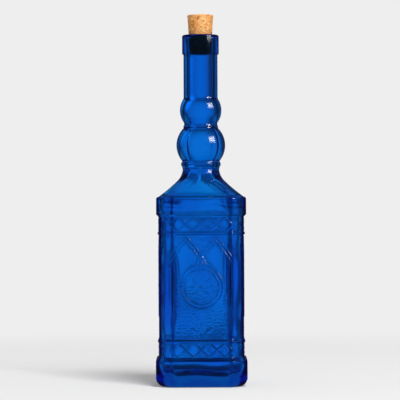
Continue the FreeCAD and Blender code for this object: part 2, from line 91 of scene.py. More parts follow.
def within(value: Array, low: float | Array, high: float, fade: float, lead: float = 0.0) -> Array:
    """Return 1 between two ends and 0 outside them, eased at both.

    Each end is a smooth step of the distance inside it over the fade.

    Args:
        value: Places to test.
        low: Lower end.
        high: Upper end.
        fade: Distance over which each end eases.
        lead: Share of the fade that lies outside the ends.

    Returns:
        Shares from 0 to 1.
    """
    return smooth_step((value - low) / fade + lead) * smooth_step((high - value) / fade + lead)


def soft_min(first: Array, second: Array, blend: float | Array) -> Array:
    """Return the lesser of two values with a rounded meeting.

    The lesser value is lowered by blend * h * (1 - h), where h runs from 0 to
    1 as the difference of the two goes from -blend to blend.

    Args:
        first: First values.
        second: Second values.
        blend: Difference over which the meeting is rounded.

    Returns:
        The blended values.
    """
    share = np.clip(0.5 + 0.5 * (second - first) / blend, 0.0, 1.0)
    return second * (1.0 - share) + first * share - blend * share * (1.0 - share)


def soft_max(first: Array, second: Array, blend: float) -> Array:
    """Return the greater of two values with a rounded meeting."""
    return -soft_min(-first, -second, blend)


def turned(points: Array, angle: float) -> Array:
    """Turn plane points about the axis.

    A point (x, y) goes to (x cos a - y sin a, x sin a + y cos a).

    Args:
        points: Points as (..., 2).
        angle: Angle a in radians, anticlockwise from above.

    Returns:
        The turned points.
    """
    cos, sin = math.cos(angle), math.sin(angle)
    across, along = points[..., 0], points[..., 1]
    return np.stack((across * cos - along * sin, across * sin + along * cos), axis=-1)


def ladder(levels: tuple[float, ...], rows: tuple[int, ...]) -> Array:
    """Return heights that go evenly from each level to the next.

    Args:
        levels: Levels in order.
        rows: Heights of each span, both of its ends counted.

    Returns:
        The heights, with each level once.
    """
    spans = zip(levels[:-1], levels[1:], rows)
    steps = [np.linspace(low, high, count)[1:] for low, high, count in spans]
    return np.concatenate((levels[:1], *steps))


@dataclass
class Skin:
    """Closed skin made of rings of points, added one band after another.

    A normal of zero leaves that point's shading to its faces, and ring holds
    the last ring's indices, which the next band or pole joins.
    """

    name: str
    bands: list[Array] = field(default_factory=list)
    normals: list[Array] = field(default_factory=list)
    faces: list[list[int]] = field(default_factory=list)
    count: int = 0
    ring: Indices | None = None

    def add_pole(self, height: float) -> None:
        """Add a single point on the axis, closing the ring before it.

        Args:
            height: Height of the point.
        """
        if self.ring is not None:
            pole = np.full_like(self.ring, self.count)
            fan = np.stack((self.ring, pole, np.roll(self.ring, -1)), axis=1)
            self.faces += fan.tolist()
        self.ring = np.array([self.count])
        self._keep(np.array([[0.0, 0.0, height]]))

    def add_band(self, grid: Array, normals: Array | None = None) -> None:
        """Add rows of points and join them to the ring before them.

        Args:
            grid: Points as (rows, columns, 3), columns anticlockwise from above.
            normals: Exact normals of the points, zero where the faces give them.
        """
        rows, columns, _ = grid.shape
        index = self.count + np.arange(rows * columns).reshape(rows, columns)
        if self.ring is not None:
            self._join(self.ring, index[0])
        beside = np.roll(index, -1, axis=1)
        quads = np.stack((index[:-1], index[1:], beside[1:], beside[:-1]), axis=-1)
        self.faces += quads.reshape(-1, 4).tolist()
        self.ring = index[-1]
        self._keep(grid.reshape(-1, 3), None if normals is None else normals.reshape(-1, 3))

    def build(self) -> bpy.types.Object:
        """Make the skin's mesh, smooth and in metres.

        Returns:
            The mesh object at the origin.
        """
        mesh = bpy.data.meshes.new(self.name)
        points = np.concatenate(self.bands) * MM
        mesh.from_pydata(points.tolist(), [], self.faces)
        mesh.polygons.foreach_set("use_smooth", np.ones(len(mesh.polygons), dtype=bool))
        mesh.update()
        normals = np.concatenate(self.normals)
        if normals.any():
            mesh.normals_split_custom_set_from_vertices(normals.tolist())
        piece = bpy.data.objects.new(self.name, mesh)
        bpy.context.scene.collection.objects.link(piece)
        return piece

    def _keep(self, points: Array, normals: Array | None = None) -> None:
        """Store points with their normals and count them.

        Args:
            points: Points as (count, 3).
            normals: Their normals, or none where the faces give them.
        """
        self.bands.append(points)
        self.normals.append(np.zeros_like(points) if normals is None else normals)
        self.count += len(points)

    def _join(self, above: Indices, below: Indices) -> None:
        """Join two rings, one of which has a whole multiple of the other's columns.

        Args:
            above: Indices of the ring that is there, or of a pole.
            below: Indices of the ring that is added.
        """
        if len(above) == 1:
            pole = np.full_like(below, above[0])
            self.faces += np.stack((pole, below, np.roll(below, -1)), axis=1).tolist()
            return
        cells = min(len(above), len(below))
        upper, lower = self._spans(above, cells), self._spans(below, cells)
        self.faces += np.concatenate((lower, upper[:, ::-1]), axis=1).tolist()

    @staticmethod
    def _spans(ring: Indices, cells: int) -> Indices:
        """Cut a ring into cells of equal counts, both ends included.

        Args:
            ring: Indices of the ring.
            cells: Number of cells.

        Returns:
            Indices as (cells, points of a cell).
        """
        step = len(ring) // cells
        places = step * np.arange(cells)[:, None] + np.arange(step + 1)[None, :]
        return ring[places % len(ring)]


class Wiring:
    """Short-hand for making and joining the nodes of one tree."""

    def __init__(self, tree: bpy.types.NodeTree) -> None:
        """Empty the tree and keep it."""
        tree.nodes.clear()
        self.tree = tree

    def node(self, kind: str, inputs: Inputs | None = None, **settings: str) -> bpy.types.Node:
        """Add a node with its settings, and set or link its inputs.

        Args:
            kind: Type of the node, without the prefix that all share.
            inputs: Numbers, colours or sockets by the input's name or place.
            settings: Other settings of the node, such as its operation.

        Returns:
            The node.
        """
        node = self.tree.nodes.new("ShaderNode" + kind)
        for name, setting in settings.items():
            setattr(node, name, setting)
        for place, term in (inputs or {}).items():
            if isinstance(term, Socket):
                self.tree.links.new(term, node.inputs[place])
            else:
                node.inputs[place].default_value = term
        return node

    def place(self, output: str) -> Socket:
        """Return a texture coordinate of the surface or of the world."""
        return self.node("TexCoord").outputs[output]

    def value(self, operation: str, *terms: Term) -> Socket:
        """Return the result of a math operation on numbers or sockets."""
        return self.node("Math", dict(enumerate(terms)), operation=operation).outputs["Value"]

    def product(self, *terms: Term) -> Socket:
        """Return the product of two numbers or sockets."""
        return self.value("MULTIPLY", *terms)

    def blend(self, share: Socket, first: Term, second: Term) -> Socket:
        """Return a value that goes from the first to the second with a share."""
        return self.node("Mix", {"Factor": share, "A": first, "B": second}).outputs["Result"]

    def ease(self, term: Socket, *levels: float) -> Socket:
        """Return a smooth step over two levels of the term, from 0 to 1 or as two more say."""
        inputs = dict(enumerate((term, *levels)))
        return self.node("MapRange", inputs, interpolation_type="SMOOTHSTEP").outputs["Result"]

    def tinted(self, share: Term, colour: Socket, tint: Socket | tuple[float, ...]) -> Socket:
        """Return a colour multiplied by a tint, as far as the share says."""
        kind = {"data_type": "RGBA", "blend_type": "MULTIPLY"}
        return self.node("Mix", {"Factor": share, "A": colour, "B": tint}, **kind).outputs["Result"]

    def glow(self, strength: Term) -> Socket:
        """Return a white emission of the given strength."""
        return self.node("Emission", {"Strength": strength}).outputs["Emission"]

    def mixed(self, share: Socket, *shaders: Socket) -> Socket:
        """Return a mix of two shaders by a share."""
        return self.node("MixShader", dict(enumerate((share, *shaders)))).outputs["Shader"]

    def passed(self, path: bpy.types.Node, depth: str) -> Socket:
        """Return 1 where the light's path has had at least one event of a kind, else 0."""
        return self.value("GREATER_THAN", path.outputs[depth], 0.5)


def new_material(name: str) -> tuple[bpy.types.Material, Wiring]:
    """Make a material whose tree is empty.

    Args:
        name: Name of the material.

    Returns:
        The material and the wiring of its tree.
    """
    material = bpy.data.materials.new(name)
    material.use_nodes = True
    return material, Wiring(material.node_tree)


@dataclass(frozen=True)
class GlassFinish:
    """Clear coloured glass that darkens with the length of the light's path."""

    tint: Colour = (0.17, 0.565, 0.945)
    depth: Colour = (0.4, 0.91, 0.985)
    density: float = 1000.0
    ior: float = 1.5
    roughness: float = 0.12
    ripple: float = 0.006
    ripple_scale: float = 85.0
    ripple_detail: float = 1.0

    def material(self) -> bpy.types.Material:
        """Make the glass: a clear tinted skin round an absorbing volume.

        Returns:
            The material.
        """
        material, wiring = new_material("blue_glass")
        skin = wiring.node("BsdfPrincipled", {
            "Base Color": (*self.tint, 1.0),
            "Transmission Weight": 1.0,
            "IOR": self.ior,
            "Roughness": self.roughness,
            "Normal": self._ripples(wiring),
        })
        inside = {"Color": (*self.depth, 1.0), "Density": self.density}
        volume = wiring.node("VolumeAbsorption", inside).outputs["Volume"]
        wiring.node("OutputMaterial", {"Surface": skin.outputs["BSDF"], "Volume": volume})
        return material

    def _ripples(self, wiring: Wiring) -> Socket:
        """Make the faint unevenness of a fire-polished skin: a bump of soft noise.

        Args:
            wiring: Wiring of the material.

        Returns:
            The uneven normal.
        """
        noise = wiring.node("TexNoise", {
            "Vector": wiring.place("Object"),
            "Scale": self.ripple_scale,
            "Detail": self.ripple_detail,
        })
        height = noise.outputs["Fac"]
        bump = {"Strength": self.ripple, "Distance": MM, "Height": height}
        return wiring.node("Bump", bump).outputs["Normal"]


@dataclass(frozen=True)
class CorkFinish:
    """Pressed cork: granules of several browns with dark specks, and painted shade where it sits in
    the mouth.
    """

    pale: Colour = (0.96, 0.6, 0.27)
    light: Colour = (0.93, 0.46, 0.155)
    middle: Colour = (0.86, 0.39, 0.12)
    dark: Colour = (0.55, 0.2, 0.05)
    brown_stops: tuple[float, float, float, float] = (0.0, 0.14, 0.7, 1.0)
    granule_scale: float = 430.0
    speck: Colour = (0.62, 0.42, 0.32)
    speck_stops: Span = (0.38, 0.47)
    speck_scale: float = 800.0
    speck_detail: float = 4.0
    # painted shade: the colour and heights (m) that darken the cork where it sits in the glass
    # mouth
    mouth_shade: Colour = (0.34, 0.24, 0.18)
    mouth_shade_edges: Span = (0.2975, 0.3)
    roughness: float = 0.9
    gloss: float = 0.2

    def material(self) -> bpy.types.Material:
        """Make the cork: each granule's brown, times the specks, times a painted shade below the
        lip's top, where it sits in the mouth.

        Returns:
            The material.
        """
        material, wiring = new_material("cork")
        place = wiring.place("Object")
        granules = wiring.node("TexVoronoi", {"Vector": place, "Scale": self.granule_scale})
        pick = wiring.node("SeparateColor", {"Color": granules.outputs["Color"]})
        browns = zip(self.brown_stops, (self.dark, self.middle, self.light, self.pale))
        brown = self._ramp(wiring, pick.outputs["Red"], *browns)
        grain = {"Vector": place, "Scale": self.speck_scale, "Detail": self.speck_detail}
        specks = wiring.node("TexNoise", grain).outputs["Fac"]
        shades = zip(self.speck_stops, (self.speck, (1.0, 1.0, 1.0)))
        own_colour = wiring.tinted(1.0, brown, self._ramp(wiring, specks, *shades))
        # Painted shade: the cork goes darker below the lip's top, inside the glass mouth
        height = wiring.node("SeparateXYZ", {"Vector": place}).outputs["Z"]
        shaded_share = wiring.ease(height, *self.mouth_shade_edges, 1.0, 0.0)
        cork = wiring.node("BsdfPrincipled", {
            "Base Color": wiring.tinted(shaded_share, own_colour, (*self.mouth_shade, 1.0)),
            "Roughness": self.roughness,
            "Specular IOR Level": self.gloss,
        })
        wiring.node("OutputMaterial", {"Surface": cork.outputs["BSDF"]})
        return material

    @staticmethod
    def _ramp(wiring: Wiring, share: Socket, *stops: tuple[float, Colour]) -> Socket:
        """Make a colour ramp.

        Args:
            wiring: Wiring of the material.
            share: Place on the ramp.
            stops: Places and colours in order.

        Returns:
            The colour at that place.
        """
        node = wiring.node("ValToRGB", {"Fac": share})
        elements = node.color_ramp.elements
        while len(elements) < len(stops):
            elements.new(1.0)
        for element, (place, colour) in zip(elements, stops):
            element.position = place
            element.color = (*colour, 1.0)
        return node.outputs["Color"]


@dataclass
class Relief:
    """Raised pattern of the four panels and of the two lattice bands."""

    rise: float = 0.54
    slope: float = 1.65
    # lattice bands
    lattices: tuple[Span, Span] = ((25.3, 37.5), (131.6, 143.2))
    lattice_rib: float = 0.7
    lattice_fade: float = 0.6
    cell: float = 13.27
    corner_shift: float = 0.5
    corner_share: float = 0.45
    # crossing arches and their side legs
    arch_rib: float = 0.8
    arch_radii: Span = (90.0, 87.2)
    arch_spread: float = 12.4
    arch_reach: float = 63.68
    arch_level: float = 63.4
    arch_foot: float = 101.5
    leg_place: float = 25.3
    leg_ends: Span = (59.0, 111.0)
    leg_slant: float = 1.6
    leg_fade: float = 1.0
    # uneven ground of the panels, and the smooth lancets in it
    ground: float = 0.095
    waves: int = 40
    wave_lengths: Span = (1.9, 3.6)
    seed: int = 4
    panel_ends: Span = (41.0, 128.2)
    panel_half: float = 23.0
    panel_fade: float = 2.0
    lancet_gap: float = 1.0
    lancet_foot: float = 88.0
    lancet_fade: float = 6.0
    # medallion and leaves
    medallion: float = 84.5
    rings: tuple[Span, Span] = ((18.2, 1.1), (15.0, 0.8))
    petals_round: int = 8
    petal: Span = (3.4, 12.6)
    petal_bow: float = 1.5
    petal_share: float = 0.8
    boss: float = 2.2
    leaf_root: float = 43.5
    leaf: Span = (2.0, 13.0)
    leaf_bow: float = 2.1
    leaf_turns: tuple[float, float, float] = (35.0, 90.0, 145.0)
    blade_flank: float = 1.4

    def height(self, across: Array, up: Array, side: Side) -> Array:
        """Return the rise over a side's plane: the highest rib, on the uneven ground.

        Args:
            across: Distance from the middle of the side.
            up: Height above the floor.
            side: Kind of the side.

        Returns:
            Rise in millimetres.
        """
        if side is Side.CORNER:
            return self.corner_share * self.rise * self.lattice(across, up, self.corner_shift)
        inside = np.hypot(across, up - self.medallion) < self.rings[0][0]
        raised = (
            self.lattice(across, up, 0.0),
            np.where(inside, 0.0, self.arches(across, up)),
            self.petals(across, up),
            self.leaves(across, up),
        )
        return self.rise * np.maximum.reduce(raised) + self.stipple(across, up)

    def rib(self, distance: Array, width: float) -> Array:
        """Return a rib's height share: 1 near its middle line, eased to 0 over the slope."""
        return smooth_step((0.5 * width + 0.5 * self.slope - np.abs(distance)) / self.slope)

    def blade(self, along: Array, aside: Array, ends: Span, bow: float) -> Array:
        """Return the height share of a pointed blade between two arcs.

        Both edges are arcs of the radius (half^2 + bow^2) / (2 bow), where half
        is half the blade's length; inside is where the farther arc's centre is
        nearer than that radius.

        Args:
            along: Distance along the blade from its root.
            aside: Distance to the side of its middle line.
            ends: Root and tip along the blade.
            bow: Half of its greatest width.

        Returns:
            Height share from 0 to 1.
        """
        half = 0.5 * (ends[1] - ends[0])
        radius = (half * half + bow * bow) / (2.0 * bow)
        outside = np.hypot(along - ends[0] - half, np.abs(aside) + radius - bow) - radius
        return smooth_step(-outside / (self.blade_flank * bow))

    def lattice(self, across: Array, up: Array, shift: float) -> Array:
        """Return the height share of the diamond lattice in both bands.

        A rib runs where the distance across, in cells, plus or minus the share
        of the band's height is half a whole number, moved on by the shift.

        Args:
            across: Distance from the middle of the side.
            up: Height above the floor.
            shift: Place of the pattern's middle, in cells.

        Returns:
            Height share from 0 to 1.
        """
        share = np.zeros_like(across)
        for low, high in self.lattices:
            tall = high - low
            shown = within(up, low, high, self.lattice_fade, 0.5)
            for lean in (1.0, -1.0):
                phase = across / self.cell + lean * (up - low) / tall - 0.5 - shift
                aside = (phase - np.round(phase)) * self.cell
                near = aside * tall / math.hypot(self.cell, tall)
                share = np.maximum(share, shown * self.rib(near, self.lattice_rib))
        return share

    def arches(self, across: Array, up: Array) -> Array:
        """Return the height share of the crossing double arches and side legs.

        Three arcs mirrored about the panel's middle cross one another, each
        drawn as two ribs on circles with one centre. The legs go straight down
        from the outer arcs and end on a slant.

        Args:
            across: Distance from the middle of the panel.
            up: Height above the floor.

        Returns:
            Height share from 0 to 1.
        """
        out = np.abs(across)
        foot = smooth_step((up - self.arch_foot) / self.slope + 0.5)
        past = (out - self.arch_spread) / self.slope
        outer = smooth_step(past + 1.0) * (up >= self.arch_level)
        inner = smooth_step(1.0 - past) * foot
        share = np.zeros_like(out)
        for radius, shown in zip(self._arc_radii(out, up), (outer, inner, foot)):
            for size in self.arch_radii:
                share = np.maximum(share, shown * self.rib(radius - size, self.arch_rib))
        low, high = self.leg_ends
        slant = low - self.leg_slant * (out - self.leg_place)
        leg = self.rib(out - self.leg_place, self.arch_rib)
        leg *= within(up, slant, high, self.leg_fade)
        return np.maximum(share * smooth_step(self.panel_ends[1] - up), leg)

    def petals(self, across: Array, up: Array) -> Array:
        """Return the height share of the medallion: two rings, a boss and petals.

        The turn about the medallion's middle is folded to the nearest petal, so
        that one blade gives them all.

        Args:
            across: Distance from the middle of the panel.
            up: Height above the floor.

        Returns:
            Height share from 0 to 1.
        """
        rise = up - self.medallion
        radius = np.hypot(across, rise)
        share = np.zeros_like(radius)
        for size, width in self.rings:
            share = np.maximum(share, self.rib(radius - size, width))
        turn = np.arctan2(across, rise)
        apart = WHOLE / self.petals_round
        fold = turn - np.round(turn / apart) * apart
        along, aside = radius * np.cos(fold), radius * np.sin(fold)
        blades = self.blade(along, aside, self.petal, self.petal_bow)
        rosette = np.maximum(blades, self.rib(radius, self.boss))
        return np.maximum(share, self.petal_share * rosette)

    def leaves(self, across: Array, up: Array) -> Array:
        """Return the height share of the three leaves at the panel's foot.

        Each leaf is a blade along a line at its own turn through the root.

        Args:
            across: Distance from the middle of the panel.
            up: Height above the floor.

        Returns:
            Height share from 0 to 1.
        """
        share = np.zeros_like(across)
        rise = up - self.leaf_root
        for degrees in self.leaf_turns:
            angle = math.radians(degrees)
            along = across * math.cos(angle) + rise * math.sin(angle)
            aside = rise * math.cos(angle) - across * math.sin(angle)
            share = np.maximum(share, self.blade(along, aside, self.leaf, self.leaf_bow))
        return share

    def stipple(self, across: Array, up: Array) -> Array:
        """Return the uneven ground of a panel, smooth inside the two lancets.

        The ground is a sum of seeded plane waves. A lancet is the meeting of
        two discs of the arches, outside the third.

        Args:
            across: Distance from the middle of the panel.
            up: Height above the floor.

        Returns:
            Rise in millimetres.
        """
        chance = np.random.default_rng(self.seed)
        turns = chance.uniform(0.0, math.pi, self.waves)
        lengths = chance.uniform(*self.wave_lengths, self.waves)
        starts = chance.uniform(0.0, WHOLE, self.waves)
        total = np.zeros_like(across)
        for turn, length, start in zip(turns, lengths, starts):
            along = across * math.cos(turn) + up * math.sin(turn)
            total += np.sin(WHOLE / length * along + start)
        out = np.abs(across)
        outer, inner, other = self._arc_radii(out, up)
        disc = self.arch_radii[1] - self.lancet_gap
        lancet = smooth_step(disc - outer) * smooth_step(disc - inner)
        lancet *= smooth_step(other - self.arch_radii[0] - self.lancet_gap)
        lancet *= smooth_step((up - self.lancet_foot) / self.lancet_fade)
        shown = within(up, *self.panel_ends, self.panel_fade)
        shown *= smooth_step((self.panel_half - out) / self.panel_fade)
        return self.ground / math.sqrt(self.waves) * total * (1.0 - lancet) * shown

    def _arc_radii(self, out: Array, up: Array) -> list[Array]:
        """Return the distances from the centres of the three arcs.

        The centres stand on one level, a reach to either side of the spread and
        a reach beyond the mirrored spread.

        Args:
            out: Distance from the middle of the panel, to either side.
            up: Height above the floor.

        Returns:
            Distances for the outer, the inner and the crossing arc.
        """
        spread, reach = self.arch_spread, self.arch_reach
        centres = (spread - reach, spread + reach, -spread - reach)
        return [np.hypot(out - centre, up - self.arch_level) for centre in centres]


@dataclass
class GlassBottle:
    """The bottle: one closed skin from the hollow's floor round to the punt."""

    # body, base and shoulder band
    face_out: float = 36.1
    corner_out: float = 43.98
    edge_round: float = 1.8
    edge_share: float = 0.8
    base_swell: float = 2.8
    band_swell: float = 2.1
    heel: float = 8.0
    base_top: float = 22.5
    ledge_top: float = 25.3
    ledge_rise: float = 0.6
    ledge_round: float = 1.4
    beads: Span = (38.8, 130.3)
    bead_width: float = 2.6
    bead_rise: float = 1.0
    bead_margin: float = 0.1
    ledge_foot: float = 143.2
    band_foot: float = 145.5
    band_top: float = 161.3
    band_round: float = 2.2
    band_under: tuple[Span, ...] = ((0.0, 0.9), (0.25, 0.3), (0.9, 0.0))
    punt_radius: float = 24.0
    punt_height: float = 5.0
    # shoulder
    waist: float = 185.5
    waist_radius: float = 15.95
    waist_lap: float = 1.0
    cove_drop: float = 10.3
    cove_inset: float = 0.25
    cove_runs: Span = (4.2, 6.15)
    limit_growth: Span = (0.05, 0.00015)
    limit_soft: float = 0.8
    ridge_round: float = 4.0
    ridge_fade: float = 10.0
    # neck and lip
    lower_ring: tuple[float, float, float] = (189.1, 5.4, 17.0)
    upper_ring: tuple[float, float, float] = (221.2, 3.6, 14.9)
    ring_depth: float = 3.0
    ring_power: float = 2.4
    ring_soft: float = 0.25
    balls: tuple[Span, Span] = ((205.3, 20.9), (235.27, 17.8))
    ball_soft: float = 0.6
    groove_radius: float = 14.2
    groove_ends: Span = (212.0, 235.0)
    neck_radius: float = 14.6
    neck_foot: float = 248.0
    lip_top: float = 300.0
    lip_width: float = 16.8
    lip_radius: float = 15.75
    lip_bevel: float = 1.5
    lip_step: float = 0.1
    lip_drops: tuple[float, ...] = (0.12, 0.3, 0.8)
    lip_lead: float = 2.0
    # hollow
    wall: float = 4.3
    wall_soft: float = 3.0
    corner_gain: float = 1.5
    corner_span: Span = (44.0, 118.0)
    base_inside: float = 3.6
    base_fade: Span = (3.0, 7.0)
    band_inside: float = 3.1
    band_fade: float = 5.0
    shoulder_wall: float = 1.6
    shoulder_lift: float = 0.8
    hollow_soft: float = 1.5
    hollow_fade: float = 14.0
    shoulder_soft: float = 9.0
    floor: float = 5.0
    floor_round: float = 13.0
    floor_dome: float = 4.8
    bell_foot: float = 150.0
    bell_span: Span = (6.0, 8.0)
    throat: float = 12.2
    throat_foot: float = 172.0
    ball_walls: Span = (3.0, 3.9)
    ball_hollow_soft: float = 1.2
    neck_hollow: float = 247.0
    bore: float = 9.8
    mouth: float = 10.0
    mouth_foot: float = 283.0
    mouth_round: float = 1.0
    # unevenness of the blown inner skin
    waves: float = 0.35
    wave_parts: tuple[tuple[float, ...], ...] = (
        (1.0, 3.0, 0.071, 0.0),
        (1.0, 5.0, -0.113, 1.3),
        (0.8, 2.0, 0.19, 2.1),
        (0.6, 8.0, 0.05, 0.0),
    )
    wave_top: Span = (270.0, 60.0)
    wave_neck: tuple[float, float, float] = (175.0, 20.0, 0.35)
    wave_radius: float = 20.0
    folds: tuple[Span, ...] = ((-130.8, 0.7), (-35.9, 0.7), (52.0, 0.5), (141.0, 0.6))
    fold_width: float = 3.4
    fold_reach: float = 0.8
    crease: float = 153.6
    crease_rise: float = 0.28
    crease_width: float = 0.8
    crease_wander: tuple[tuple[float, ...], ...] = ((0.9, 4.0, 0.6), (0.5, 11.0, 2.0))
    crease_swell: tuple[float, ...] = (0.55, 0.45, 4.0, -0.9)
    # rows of the mesh
    floor_rows: int = 16
    floor_round_rows: int = 13
    hollow_rows: tuple[int, ...] = (26, 4, 17, 15)
    neck_hollow_rows: tuple[int, int] = (44, 20)
    edge_rows: int = 6
    neck_rows: tuple[int, int] = (12, 84)
    shoulder_rows: int = 46
    band_rows: int = 8
    panel_rows: tuple[int, ...] = (17, 9, 116, 9, 18)
    normal_step: float = 0.05
    ledge_rows: int = 7
    base_rows: int = 9
    heel_rows: int = 11
    punt_rows: int = 12
    relief: Relief = field(default_factory=Relief)
    finish: GlassFinish = field(default_factory=GlassFinish)

    def build(self) -> bpy.types.Object:
        """Add the bands of the skin in order, from the hollow's floor.

        Returns:
            The bottle's mesh object.
        """
        skin = Skin("glass_skin")
        self._add_hollow(skin)
        self._add_neck(skin)
        self._add_shoulder(skin)
        self._add_panels(skin)
        self._add_base(skin)
        return skin.build()

    def dress(self, piece: bpy.types.Object) -> None:
        """Give the piece its glass and its place in the object.

        Args:
            piece: The bottle's mesh object.
        """
        piece.data.materials.append(self.finish.material())
        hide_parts("glass_bottle")
        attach(piece, "bottle")

    def azimuths(self, columns: Columns) -> Array:
        """Return the turn of each column about the axis."""
        places = self._section(np.array([self.face_out]), np.array([self.corner_out]), columns)
        return np.arctan2(places[0, :, 1], places[0, :, 0])

    @staticmethod
    def _raised(points: Array, heights: Array) -> Array:
        """Return flat rings of points lifted to their heights."""
        up = np.broadcast_to(heights[:, None, None], (*points.shape[:2], 1))
        return np.concatenate((points, up), axis=-1)

    def _round(self, radii: Array, heights: Array, columns: Columns) -> Array:
        """Make round rings: each radius times the cosine and sine of the columns' turns.

        Args:
            radii: Radius of each ring.
            heights: Height of each ring.
            columns: Columns of the rings.

        Returns:
            Points as (rows, columns, 3).
        """
        turn = self.azimuths(columns)
        circle = np.stack((np.cos(turn), np.sin(turn)), axis=-1)
        return self._raised(radii[:, None, None] * circle[None], heights)

    def _side(self, half: Array, out: Array, share: Array, edge: Array) -> tuple[Array, Array]:
        """Return the points and normals of a side facing -Y, ends rounded.

        Each end is rounded by a curve of the second degree that meets the next
        side, turned by an eighth, at its own middle.

        Args:
            half: Half width of the side in each row.
            out: Distance from the axis in each row.
            share: Place of each column from one end to the other.
            edge: Length of each end that is rounded, in each row.

        Returns:
            Points and outward normals as (rows, columns, 2).
        """
        half, out = half[:, None], out[:, None]
        across = half * (2.0 * share[None, :] - 1.0)
        radius = np.minimum(edge[:, None], self.edge_share * half)
        inset = half - np.abs(across)
        bend = np.clip((radius - inset) / (2.0 * radius), 0.0, 0.5)
        turn = bend * bend * radius / SQRT2
        reach = half - np.maximum(inset - radius, 0.0) - (1.0 - bend) ** 2 * radius + turn
        sign = np.sign(across)
        points = np.stack((sign * reach, turn - out), axis=-1)
        normals = np.stack((sign * bend / SQRT2, bend - 1.0 - bend / SQRT2), axis=-1)
        return points, normals / np.linalg.norm(normals, axis=-1, keepdims=True)

    def _section(
        self,
        face: Array,
        corner: Array,
        columns: Columns,
        heights: Array | None = None,
        edge: Array | None = None,
        slip: float = 0.0,
    ) -> Array:
        """Return eight-sided rings with the relief raised on them.

        One face and one planed corner are worked out and turned to all four
        quarters.

        Args:
            face: Distance of the faces from the axis in each row.
            corner: Distance of the planed corners in each row.
            columns: Columns of the rings.
            heights: Height of each row where the relief is wanted.
            edge: Rounding of the ridges in each row, where it isn't the usual.
            slip: How far the columns are moved on, in columns.

        Returns:
            Points as (rows, columns, 2).
        """
        half = corner * SQRT2 - face
        cut = (face - half) / SQRT2
        edge = np.full_like(face, self.edge_round) if edge is None else edge
        quarter = []
        for side, count, width, out in zip(Side, columns.value, (half, cut), (face, corner)):
            share = (np.arange(count) + slip) / count
            places, facing = self._side(width, out, share, edge)
            if heights is not None:
                up = np.broadcast_to(heights[:, None], places.shape[:2])
                rise = self.relief.height(places[..., 0], up, side)
                places = places + facing * rise[..., None]
            quarter.append(turned(places, side.value))
        sides = np.concatenate(quarter, axis=1)
        return np.concatenate([turned(sides, QUARTER * step) for step in range(4)], axis=1)

    def _hollow_radius(self, heights: Array, turn: Array) -> Array:
        """Return the hollow's radius at each height and turn.

        The body's part is the outer shape drawn in by the wall, softened at the
        corners and swelling behind the base and the band; the shoulder's part is
        the outer cove, lowered and drawn in; the neck's part is the greatest of
        the bore and the ball hollows.

        Args:
            heights: Height of each row.
            turn: Turn of each column.

        Returns:
            Radii as (rows, columns).
        """
        up = heights[:, None]
        aside = np.abs(turn - np.round(turn / QUARTER) * QUARTER)[None, :]
        base_lead, base_fade = self.base_fade
        swell = self.band_inside * smooth_step((up - self.ledge_foot) / self.band_fade)
        low_swell = smooth_step((self.ledge_top + base_lead - up) / base_fade)
        swell = swell + self.base_inside * low_swell
        gap = self.waist_radius - self.throat - self.shoulder_wall
        draw = smooth_step((up - self.throat_foot) / self.hollow_fade)
        draw = self.shoulder_wall + gap * draw
        thick = self.corner_gain * within(up, *self.corner_span, self.hollow_fade)
        sides = []
        outsides = zip((self.face_out, self.corner_out), self.cove_runs, (0.0, thick))
        for body, run, more in outsides:
            cove = self._cove(up + self.shoulder_lift, body + self.band_swell, run) - draw
            sides.append(soft_min(body - self.wall - more + swell, cove, self.wall_soft))
        soften = smooth_step((up - self.band_foot) / self.hollow_fade)
        soft = self.hollow_soft + (self.shoulder_soft - self.hollow_soft) * soften
        body = soft_min(sides[0] / np.cos(aside), sides[1] / np.cos(EIGHTH - aside), soft)
        body = soft_min(body, self._round_limit(self.throat, up), self.limit_soft)
        neck = np.where(heights > self.mouth_foot, self.mouth, self.bore)
        neck = np.where(heights < self.balls[0][0], self.throat, neck)
        for (height, radius), wall in zip(self.balls, self.ball_walls):
            span = np.maximum((radius - wall) ** 2 - (heights - height) ** 2, 0.0)
            neck = soft_max(neck, np.sqrt(span), self.ball_hollow_soft)
        return np.where(up > self.waist - self.waist_lap, neck[:, None], body)

    def _add_hollow(self, skin: Skin) -> None:
        """Add the inner skin from the floor's middle up to the mouth.

        The floor is a low dome, rounded up into the walls by a quarter circle.

        Args:
            skin: Skin that gets the rows.
        """
        turn = self.azimuths(Columns.COARSE)
        skin.add_pole(self.floor + self.floor_dome)
        wall_foot = self.floor + self.floor_round
        reach = self._hollow_radius(np.array([wall_foot]), turn)
        share = np.linspace(POLE_SHARE, 1.0, self.floor_rows)[:-1, None]
        swing = np.linspace(0.0, QUARTER, self.floor_round_rows)[:, None]
        dome = self.floor + self.floor_dome * (1.0 - share * share)
        bend = wall_foot - self.floor_round * np.cos(swing)
        lead, run = self.bell_span
        waist = self.waist - self.waist_lap
        levels = (wall_foot, self.bell_foot - lead, self.bell_foot, self.bell_foot + run, waist)
        heights = ladder(levels, self.hollow_rows)[1:]
        radii = np.concatenate((
            share * (reach - self.floor_round),
            reach - self.floor_round * (1.0 - np.sin(swing)),
            self._hollow_radius(heights, turn),
        ))
        skin.add_band(self._blown(radii, np.concatenate((dome[:, 0], bend[:, 0], heights)), turn))
        levels = (waist, self.neck_hollow, self.lip_top - self.mouth_round)
        spans = zip(levels[:-1], levels[1:], self.neck_hollow_rows)
        for (low, high, rows), columns in zip(spans, (Columns.MIDDLE, Columns.COARSE)):
            heights = ladder((low, high), (rows,))[1:]
            turn = self.azimuths(columns)
            skin.add_band(self._blown(self._hollow_radius(heights, turn), heights, turn))

